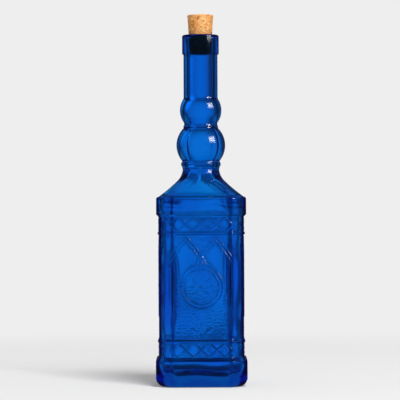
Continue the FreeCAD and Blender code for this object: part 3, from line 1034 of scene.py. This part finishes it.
    def _blown(self, radii: Array, heights: Array, turn: Array) -> Array:
        """Return the inner skin's points with its waves, folds and crease.

        Args:
            radii: Even radii as (rows, columns).
            heights: Height of each row.
            turn: Turn of each column.

        Returns:
            Points as (rows, columns, 3).
        """
        uneven = self._ripple(heights, turn) * np.minimum(radii / self.wave_radius, 1.0)
        radii = radii + (uneven - self._folds(heights, turn) - self._crease(heights, turn))
        circle = np.stack((np.cos(turn), np.sin(turn)), axis=-1)
        return self._raised(radii[..., None] * circle[None], heights)

    def _ripple(self, heights: Array, turn: Array) -> Array:
        """Return the unevenness of the blown inner skin.

        It is a sum of slow waves, each with its size, its number round, its
        climb and its start, which grow weaker from the shoulder to the neck and
        end below the mouth.

        Args:
            heights: Height of each row.
            turn: Turn of each column.

        Returns:
            Rise as (rows, columns).
        """
        up = heights[:, None]
        wave = np.zeros((len(heights), len(turn)))
        for size, number, climb, start in self.wave_parts:
            wave += size * np.sin(number * turn + climb * up + start)
        top, top_fade = self.wave_top
        neck, neck_fade, least = self.wave_neck
        fade = least + (1.0 - least) * smooth_step((neck - up) / neck_fade)
        return self.waves * wave * (smooth_step((top - up) / top_fade) * fade)

    def _folds(self, heights: Array, turn: Array) -> Array:
        """Return the upright folds that blowing leaves inside the lower ball.

        A fold rises by its height times a bell curve of the angle from it and
        fades out with the square of the distance from the ball's middle.

        Args:
            heights: Height of each row.
            turn: Turn of each column.

        Returns:
            Rise towards the axis as (rows, columns).
        """
        middle, size = self.balls[0]
        fade = np.clip(1.0 - ((heights - middle) / (self.fold_reach * size)) ** 2, 0.0, 1.0)
        rise = np.zeros((len(heights), len(turn)))
        for place, height in self.folds:
            aside = np.remainder(turn - math.radians(place) + math.pi, WHOLE) - math.pi
            rise += height * np.exp(-((aside / math.radians(self.fold_width)) ** 2))
        return rise * fade[:, None]

    def _crease(self, heights: Array, turn: Array) -> Array:
        """Return the wavy crease that blowing leaves inside the band.

        It runs round at a height that wanders by two sines of the turn and
        rises by a bell curve of the distance from it, in fading stretches.

        Args:
            heights: Height of each row.
            turn: Turn of each column.

        Returns:
            Rise towards the axis as (rows, columns).
        """
        middle = np.full_like(turn, self.crease)
        for size, number, start in self.crease_wander:
            middle += size * np.sin(number * turn + start)
        level, size, number, start = self.crease_swell
        strong = level + size * np.sin(number * turn + start)
        bell = np.exp(-(((heights[:, None] - middle) / self.crease_width) ** 2))
        return self.crease_rise * strong * bell

    def _neck_radius(self, up: Array) -> Array:
        """Return the outer radius of the neck: roots, rings and balls.

        A ring bulges by a curve whose powers of height and depth add up to 1,
        and a ball is a circle; all meet the roots softly.

        Args:
            up: Heights from the waist to the lip.

        Returns:
            Radius at each height.
        """
        low, high = self.groove_ends
        radius = np.where(up < low, self.waist_radius, self.groove_radius)
        radius = np.where(up > high, self.neck_radius, radius)
        for middle, width, size in (self.lower_ring, self.upper_ring):
            share = np.clip(np.abs(2.0 * (up - middle) / width), 0.0, 1.0)
            bulge = (1.0 - share**self.ring_power) ** (1.0 / self.ring_power)
            ring = size - self.ring_depth + self.ring_depth * bulge
            radius = soft_max(radius, np.where(share < 1.0, ring, 0.0), self.ring_soft)
        for height, size in self.balls:
            span = np.maximum(size**2 - (up - height) ** 2, 0.0)
            radius = soft_max(radius, np.sqrt(span), self.ball_soft)
        return radius

    def _add_neck(self, skin: Skin) -> None:
        """Add the mouth's edge, the lip and the neck down to the waist.

        The mouth's edge, the lip's bevel and its under edge are quarter circles.

        Args:
            skin: Skin that gets the rows.
        """
        swing = np.linspace(0.0, QUARTER, self.edge_rows)
        cos, sin = np.cos(swing), np.sin(swing)
        top, bevel, inner = self.lip_top, self.lip_bevel, self.mouth_round
        foot = top - self.lip_width
        tuck = self.lip_radius - self.neck_radius - self.lip_step
        below = ladder((foot - self.lip_lead, self.neck_foot, self.waist), self.neck_rows)
        heights = np.concatenate((foot - np.array(self.lip_drops), below))
        radii = np.concatenate((
            self.mouth + inner - inner * cos,
            self.lip_radius - bevel + bevel * sin,
            self.lip_radius - tuck + tuck * cos,
            self._neck_radius(heights),
        ))
        edges = (top - inner + inner * sin, top - bevel + bevel * cos, foot + tuck - tuck * sin)
        skin.add_band(self._round(radii, np.concatenate((*edges, heights)), Columns.COARSE))

    def _cove(self, up: Array, band: float, run: float) -> Array:
        """Return a shoulder side's distance: two arcs, hollow above and full below.

        The upper arc leaves the neck upright at the waist's height and reaches
        run outwards over the cove's drop; the rest falls as a rounded slope to
        the top of the band.

        Args:
            up: Heights from the band to the waist.
            band: Distance of the side at the band.
            run: Reach of the upper arc.

        Returns:
            Distance from the axis at each height.
        """
        drop = self.cove_drop
        near = self.waist_radius - self.cove_inset
        depth = np.maximum(self.waist - up, 0.0)
        radius = (run * run + drop * drop) / (2.0 * run)
        fall = np.sqrt(np.maximum(radius**2 - np.minimum(depth, drop) ** 2, 0.0))
        slope = drop / math.sqrt(radius**2 - drop**2)
        tall = self.waist - drop - self.band_top
        goal = band - self.band_round - near - run
        power = tall * slope / goal
        share = np.clip((depth - drop) / tall, 0.0, 1.0)
        curve = power * share + (1.0 - power) * share**2
        return np.where(depth <= drop, near + radius - fall, near + run + goal * curve)

    def _round_limit(self, radius: float, up: Array) -> Array:
        """Return the radius that rounds the ridges off towards the waist.

        It grows from the given radius by the square and the fourth power of
        the depth under the waist.

        Args:
            radius: Radius at the waist.
            up: Heights below the waist.

        Returns:
            The greatest radius at each height.
        """
        second, fourth = self.limit_growth
        depth = np.maximum(self.waist - up, 0.0)
        return radius + second * depth**2 + fourth * depth**4

    def _add_shoulder(self, skin: Skin) -> None:
        """Add the coved shoulder and the band under it.

        The slope follows the coves of the faces and corners, with its ridges
        rounded off towards the waist. The band's upper edge is a quarter
        circle, and its foot is tucked in by small steps.

        Args:
            skin: Skin that gets the rows.
        """
        outs = [out + self.band_swell for out in (self.face_out, self.corner_out)]
        slope = ladder((self.waist, self.band_top), (self.shoulder_rows,))[1:]
        swing = np.linspace(0.0, QUARTER, self.edge_rows)[1:]
        rim = self.band_top - self.band_round * (1.0 - np.cos(swing))
        tuck, under = np.array(self.band_under).T
        band = ladder((rim[-1], self.band_foot + under[0]), (self.band_rows,))[1:]
        turn_in = self.band_round * (1.0 - np.sin(swing))
        lean = np.concatenate((turn_in, np.zeros(len(band)), tuck[1:]))
        heights = np.concatenate((slope, rim, band, self.band_foot + under[1:]))
        faces, corners = (
            np.concatenate((self._cove(slope, out, run), out - lean))
            for out, run in zip(outs, self.cove_runs)
        )
        ridge = smooth_step((heights - self.band_top) / self.ridge_fade)
        edge = self.edge_round + self.ridge_round * ridge
        points = self._section(faces, corners, Columns.MIDDLE, edge=edge)
        limit = self._round_limit(self.waist_radius, heights)[:, None]
        radius = np.linalg.norm(points, axis=-1)
        points = points * (soft_min(radius, limit, self.limit_soft) / radius)[..., None]
        skin.add_band(self._raised(points, heights))

    def _add_panels(self, skin: Skin) -> None:
        """Add the beads, the lattice bands and the relief panels.

        The rows go evenly from each bead's edge to the next.

        Args:
            skin: Skin that gets the rows.
        """
        reach = 0.5 * self.bead_width
        lower, upper = ((bead + reach, bead - reach) for bead in self.beads)
        levels = (self.ledge_foot + self.ledge_rise, *upper, *lower, self.ledge_top)
        heights = ladder(levels, self.panel_rows)
        skin.add_band(self._panel(heights), self._panel_normals(heights))

    def _panel(self, heights: Array, slip: float = 0.0) -> Array:
        """Return the panels' points: the relief on the planes, and half-round beads.

        Args:
            heights: Height of each row.
            slip: How far the columns are moved on, in columns.

        Returns:
            Points as (rows, columns, 3).
        """
        lean = np.zeros_like(heights)
        for middle in self.beads:
            share = np.clip(2.0 * np.abs(heights - middle) / self.bead_width, 0.0, 1.0)
            lean += self.bead_rise * np.sqrt(1.0 - share**2)
        faces, corners = self.face_out + lean, self.corner_out + lean
        points = self._section(faces, corners, Columns.FINE, heights, slip=slip)
        return self._raised(points, heights)

    def _panel_normals(self, heights: Array) -> Array:
        """Return the panels' exact normals.

        A normal is the cross product of small steps across and up the surface;
        the beads and the first and last rows keep the normals of their faces.

        Args:
            heights: Height of each row.

        Returns:
            Normals as (rows, columns, 3), zero where the faces give them.
        """
        step = self.normal_step
        beside = self._panel(heights, step) - self._panel(heights, -step)
        above = self._panel(heights + step) - self._panel(heights - step)
        normals = np.cross(beside, above)
        normals /= np.linalg.norm(normals, axis=-1, keepdims=True)
        apart = np.abs(heights[:, None] - np.array(self.beads)).min(axis=1)
        normals[apart < 0.5 * self.bead_width + self.bead_margin] = 0.0
        normals[[0, -1]] = 0.0
        return normals

    def _add_base(self, skin: Skin) -> None:
        """Add the ledge, the base, its rounded heel and the hollow under it.

        The ledge's edge and the heel are quarter circles, and the hollow rises
        to its middle with the square of the distance from its rim.

        Args:
            skin: Skin that gets the rows.
        """
        soft, heel = self.ledge_round, self.heel
        swing = np.linspace(0.0, QUARTER, self.ledge_rows)
        side = ladder((self.base_top - soft, heel), (self.base_rows,))[1:]
        curve = np.linspace(0.0, QUARTER, self.heel_rows)[1:]
        lean = np.concatenate((
            soft * (1.0 - np.sin(swing)), np.zeros(len(side)), heel * (1.0 - np.cos(curve)),
        ))
        heights = np.concatenate((
            self.base_top + self.ledge_rise - soft * (1.0 - np.cos(swing)),
            side,
            heel * (1.0 - np.sin(curve)),
        ))
        face, corner = self.face_out + self.base_swell, self.corner_out + self.base_swell
        points = self._section(face - lean, corner - lean, Columns.MIDDLE)
        skin.add_band(self._raised(points, heights))
        share = np.linspace(1.0, 0.0, self.punt_rows)[:-1]
        rise = self.punt_height * (1.0 - share**2)
        skin.add_band(self._round(self.punt_radius * share, rise, Columns.COARSE))
        skin.add_pole(self.punt_height)


@dataclass
class CorkStopper:
    """Tapered plug of pressed cork with a pitted skin."""

    low: float = 283.4
    high: float = 317.1
    gauge: float = 9.95
    gauge_height: float = 299.0
    taper: float = 0.067
    edge: float = 0.7
    pits: int = 420
    pit_sizes: Span = (0.25, 0.8)
    pit_depth: float = 0.35
    seed: int = 7
    columns: int = 144
    side_rows: int = 84
    edge_rows: int = 5
    end_rows: int = 26
    finish: CorkFinish = field(default_factory=CorkFinish)

    def build(self) -> bpy.types.Object:
        """Make the plug: flat ends, quarter-round edges and a straight taper, all pitted.

        Returns:
            The cork's mesh object.
        """
        swing = np.linspace(0.0, QUARTER, self.edge_rows)
        cos, sin = np.cos(swing), np.sin(swing)
        side = np.linspace(self.high - self.edge, self.low + self.edge, self.side_rows)
        radius = self.gauge + self.taper * (side - self.gauge_height)
        spread = np.linspace(POLE_SHARE, 1.0, self.end_rows)[:-1]
        head, foot = radius[0] - self.edge, radius[-1] - self.edge
        radii = np.concatenate((
            spread * head, head + self.edge * sin[:-1], radius,
            foot + self.edge * cos[1:], foot * spread[::-1],
        ))
        heights = np.concatenate((
            np.full(len(spread), self.high), self.high - self.edge * (1.0 - cos)[:-1], side,
            self.low + self.edge * (1.0 - sin)[1:], np.full(len(spread), self.low),
        ))
        turn = np.arange(self.columns) / self.columns * WHOLE
        circle = radii[:, None] * np.cos(turn), radii[:, None] * np.sin(turn)
        grid = np.stack(np.broadcast_arrays(*circle, heights[:, None]), axis=-1)
        skin = Skin("cork_skin")
        skin.add_pole(self.high)
        skin.add_band(self._pitted(grid))
        skin.add_pole(self.low)
        return skin.build()

    def dress(self, piece: bpy.types.Object) -> None:
        """Give the piece its cork and its place in the object.

        Args:
            piece: The cork's mesh object.
        """
        piece.data.materials.append(self.finish.material())
        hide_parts("cork_stopper")
        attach(piece, "cork")

    def _pitted(self, grid: Array) -> Array:
        """Return the points drawn towards the plug's middle inside each pit.

        A pit pulls a point in by its depth times (1 - (d / size)^2)^2, where d
        is the distance from the pit's middle.

        Args:
            grid: Points as (rows, columns, 3).

        Returns:
            The pitted points.
        """
        chance = np.random.default_rng(self.seed)
        flat = grid.reshape(-1, 3)
        middles = flat[chance.integers(0, len(flat), self.pits)]
        sizes = chance.uniform(*self.pit_sizes, self.pits)
        gaps = np.linalg.norm(flat[:, None, :] - middles[None, :, :], axis=-1) / sizes
        depth = (np.clip(1.0 - gaps**2, 0.0, 1.0) ** 2 * sizes).max(axis=1) * self.pit_depth
        inward = np.array([0.0, 0.0, 0.5 * (self.low + self.high)]) - flat
        inward /= np.linalg.norm(inward, axis=1, keepdims=True)
        return (flat + inward * depth[:, None]).reshape(grid.shape)


@dataclass
class Studio:
    """Pale floor and backdrop, soft lamps and the camera.

    The camera sees an even pale backdrop. Light that has been in the glass sees
    it in tones that draw the glass's lines: dark flags at the four corners, a
    dim ring straight behind the bottle, a dim ceiling and foot, and a bright
    window behind the left. Reflections from the surface see a dark room with a
    soft side lamp and two bright panes in it.
    """

    # levels of the world
    backdrop: float = 0.855
    ambient: float = 0.3
    room: float = 0.04
    through: float = 0.92
    echo: Span = (0.12, 0.62)
    echo_edges: Span = (0.1, 0.75)
    # tones of the backdrop seen through glass
    wings: float = 0.6
    wing_edge: float = 0.8
    flag: float = 0.12
    flag_edges: Span = (0.9, 0.985)
    flag_foot: Span = (-0.22, -0.08)
    ceiling: float = 0.12
    ceiling_edges: Span = (0.25, 0.7)
    dusk: float = 0.36
    dusk_outside: Span = (0.8, 0.93)
    dusk_inside: Span = (0.982, 0.9992)
    dusk_stretch: float = 0.35
    sweep: float = 0.5
    sweep_edges: Span = (-0.14, -0.055)
    window: float = 2.0
    window_turn: float = 200.0
    window_lift: float = 14.0
    window_edges: Span = (0.96, 0.998)
    # floor
    floor_radius: float = 0.9
    floor_sides: int = 96
    floor_fade: Span = (0.45, 0.95)
    floor_echo: float = 0.5
    # painted shade: share of the floor's light seen through the glass, near and far
    floor_through: Span = (0.2, 0.64)
    floor_reach: Span = (0.1, 0.6)
    floor_paint: float = 0.64
    floor_glow: float = 0.17
    # lamps
    top_towards: Direction = (0.285, -0.57, 0.771)
    top_distance: float = 6.0
    top_size: Span = (2.6, 2.6)
    top_power: float = 387.0
    side_turn: float = 59.5
    side_lift: float = 26.2
    side_distance: float = 1.6
    side_size: Span = (0.9, 0.75)
    side_power: float = 12.0
    pane_turns: Span = (52.5, 66.5)
    pane_size: Span = (0.28, 0.42)
    pane_power: float = 4.0
    bounces: tuple[int, int, int] = (32, 24, 20)
    # camera
    aim_height: float = 0.1584
    aim_across: float = -0.0009
    camera_away: float = 2.0
    lens: float = 209.6
    sensor: float = 36.0
    roll: float = 0.24

    def build(self) -> None:
        """Set up the floor, the world, the lamps and the camera."""
        self._floor()
        self._world()
        self._lamps()
        self._camera()
        scene = bpy.context.scene
        scene.view_settings.view_transform = "Standard"
        cycles = scene.cycles
        cycles.max_bounces, cycles.transmission_bounces, cycles.glossy_bounces = self.bounces

    @staticmethod
    def _towards(turn: float, lift: float) -> Direction:
        """Return the direction at a turn to the right of the front and a lift."""
        turn, lift = math.radians(turn), math.radians(lift)
        return math.sin(turn) * math.cos(lift), -math.cos(turn) * math.cos(lift), math.sin(lift)

    def _floor(self) -> None:
        """Add the floor, a disc that keeps the bottle's shadow.

        It is painted and lit near the bottle and goes over to the backdrop's
        level further out. Light that has been in the glass sees it dimmer, a
        painted shade that is deeper near the bottle, and reflections see the dark room.
        """
        turn = np.arange(self.floor_sides) / self.floor_sides * WHOLE
        rim = np.stack((np.cos(turn), np.sin(turn), np.zeros_like(turn)), axis=1)
        mesh = bpy.data.meshes.new("floor")
        mesh.from_pydata((rim * self.floor_radius).tolist(), [], [list(range(self.floor_sides))])
        floor = bpy.data.objects.new("floor", mesh)
        bpy.context.scene.collection.objects.link(floor)
        material, wiring = new_material("floor")
        mesh.materials.append(material)
        place = wiring.place("Object")
        reach = wiring.node("VectorMath", {0: place}, operation="LENGTH").outputs["Value"]
        far = wiring.ease(reach, *(share * self.floor_radius for share in self.floor_fade))
        paint = wiring.node("BsdfDiffuse", {"Color": (*(self.floor_paint,) * 3, 1.0)})
        lit = {0: paint.outputs["BSDF"], 1: wiring.glow(self.floor_glow)}
        near = wiring.node("AddShader", lit).outputs["Shader"]
        bare = wiring.mixed(far, near, wiring.glow(self.backdrop))
        path = wiring.node("LightPath")
        entered = wiring.passed(path, "Transmission Depth")
        # Painted shade: the floor seen through the glass is dimmed, more so near the bottle
        losses = (1.0 - level for level in self.floor_through)
        loss = wiring.blend(wiring.ease(reach, *self.floor_reach), *losses)
        dimmed = wiring.mixed(wiring.product(entered, loss), bare, wiring.glow(0.0))
        echo = wiring.glow(wiring.blend(entered, self.room, self.through * self.floor_echo))
        echoed = wiring.passed(path, "Glossy Depth")
        wiring.node("OutputMaterial", {"Surface": wiring.mixed(echoed, dimmed, echo)})

    def _world(self) -> None:
        """Set the world: even for the camera, toned for the glass, dark for reflections."""
        world = bpy.data.worlds.new("backdrop")
        world.use_nodes = True
        bpy.context.scene.world = world
        wiring = Wiring(world.node_tree)
        path = wiring.node("LightPath")
        axes = wiring.node("SeparateXYZ", {"Vector": wiring.place("Generated")}).outputs
        through = wiring.product(self._tone(wiring, *axes), self.through)
        echo = wiring.blend(wiring.ease(axes["Y"], *self.echo_edges), *self.echo)
        echoed = wiring.passed(path, "Glossy Depth")
        inside = wiring.blend(echoed, through, wiring.product(through, echo))
        seen = wiring.blend(wiring.passed(path, "Transmission Depth"), self.room, inside)
        indirect = wiring.blend(path.outputs["Is Glossy Ray"], self.ambient, seen)
        level = wiring.blend(path.outputs["Is Camera Ray"], indirect, self.backdrop)
        sky = wiring.node("Background", {"Color": (1.0, 1.0, 1.0, 1.0), "Strength": level})
        wiring.node("OutputWorld", {"Surface": sky.outputs["Background"]})

    def _tone(self, wiring: Wiring, across: Socket, away: Socket, up: Socket) -> Socket:
        """Make the backdrop's tone by direction, for light that has been in the glass.

        The tone is a product: the flags darken it where the sine of twice the
        azimuth nears 1 or -1, the ceiling overhead, the ring round the direction
        straight behind, and the sweep at the backdrop's foot. The window's level
        takes its place round the window's direction.

        Args:
            wiring: Wiring of the world.
            across: Direction's part to the right.
            away: Direction's part away from the camera.
            up: Direction's part upwards.

        Returns:
            The tone, 1 for the plain backdrop.
        """
        square = wiring.product(across, across)
        level_part = wiring.value("ADD", square, wiring.product(away, away))
        double = wiring.product(wiring.product(across, away), 2.0)
        corner = wiring.value("ABSOLUTE", wiring.value("DIVIDE", double, level_part))
        wing = wiring.value("MINIMUM", wiring.value("DIVIDE", corner, self.wing_edge), 1.0)
        flags = wiring.blend(wiring.ease(corner, *self.flag_edges), 1.0, self.flag)
        sides = wiring.product(wiring.blend(wing, 1.0, self.wings), flags)
        straight = wiring.value("MULTIPLY_ADD", square, self.dusk_stretch, away)
        rims = (wiring.ease(straight, *rim) for rim in (self.dusk_outside, self.dusk_inside))
        ring = wiring.value("SUBTRACT", *rims)
        tone = wiring.blend(wiring.ease(up, *self.flag_foot), 1.0, sides)
        for share, *ends in (
            (wiring.ease(up, *self.ceiling_edges), 1.0, self.ceiling),
            (ring, 1.0, self.dusk),
            (wiring.ease(up, *self.sweep_edges), self.sweep, 1.0),
        ):
            tone = wiring.product(tone, wiring.blend(share, *ends))
        aim = self._towards(self.window_turn, self.window_lift)
        parts = [wiring.product(axis, share) for axis, share in zip((across, away, up), aim)]
        facing = wiring.value("ADD", wiring.value("ADD", *parts[:2]), parts[2])
        return wiring.blend(wiring.ease(facing, *self.window_edges), tone, self.window)

    def _lamps(self) -> None:
        """Add the overhead lamp, and the side lamp and panes that reflections see."""
        over = self.top_distance, self.top_size, self.top_power
        top = self._lamp("top_lamp", self.top_towards, *over)
        top.visible_glossy = False
        top.visible_transmission = False
        boxes = [("side_lamp", self.side_turn, self.side_size, self.side_power)]
        boxes += [("pane_lamp", turn, self.pane_size, self.pane_power) for turn in self.pane_turns]
        for name, turn, size, power in boxes:
            towards = self._towards(turn, self.side_lift)
            side = self._lamp(name, towards, self.side_distance, size, power)
            side.visible_diffuse = False
            side.visible_transmission = False

    def _lamp(
        self, name: str, towards: Direction, distance: float, size: Span, power: float
    ) -> bpy.types.Object:
        """Add a soft lamp that faces the bottle.

        Args:
            name: Name of the lamp.
            towards: Direction from the bottle to the lamp.
            distance: Distance from the bottle in metres.
            size: Width and height in metres.
            power: Power in watts.

        Returns:
            The lamp's object.
        """
        light = bpy.data.lights.new(name, "AREA")
        light.shape = "RECTANGLE"
        light.size, light.size_y = size
        light.energy = power
        lamp = bpy.data.objects.new(name, light)
        aim = Vector(towards).normalized()
        lamp.location = aim * distance + Vector((0.0, 0.0, self.aim_height))
        lamp.rotation_euler = aim.to_track_quat("Z", "Y").to_euler()
        bpy.context.scene.collection.objects.link(lamp)
        return lamp

    def _camera(self) -> None:
        """Add the level camera at the picture's distance, height and slight roll."""
        lens = bpy.data.cameras.new("camera")
        lens.lens = self.lens
        lens.sensor_width = self.sensor
        camera = bpy.data.objects.new("camera", lens)
        tilt = Matrix.Rotation(math.radians(-self.roll), 4, "Z")
        place = Matrix.Translation((self.aim_across, -self.camera_away, self.aim_height))
        camera.matrix_world = place @ Matrix.Rotation(QUARTER, 4, "X") @ tilt
        bpy.context.scene.collection.objects.link(camera)
        bpy.context.scene.camera = camera


def main() -> None:
    """Build and dress the pieces, set the stage and note the sizes."""
    logging.basicConfig(level=logging.INFO, format="%(name)s: %(message)s")
    for maker in (GlassBottle(), CorkStopper()):
        piece = maker.build()
        maker.dress(piece)
        mesh = piece.data
        LOG.info("%s: %d points, %d faces", piece.name, len(mesh.vertices), len(mesh.polygons))
    Studio().build()


if __name__ == "__main__":
    main()
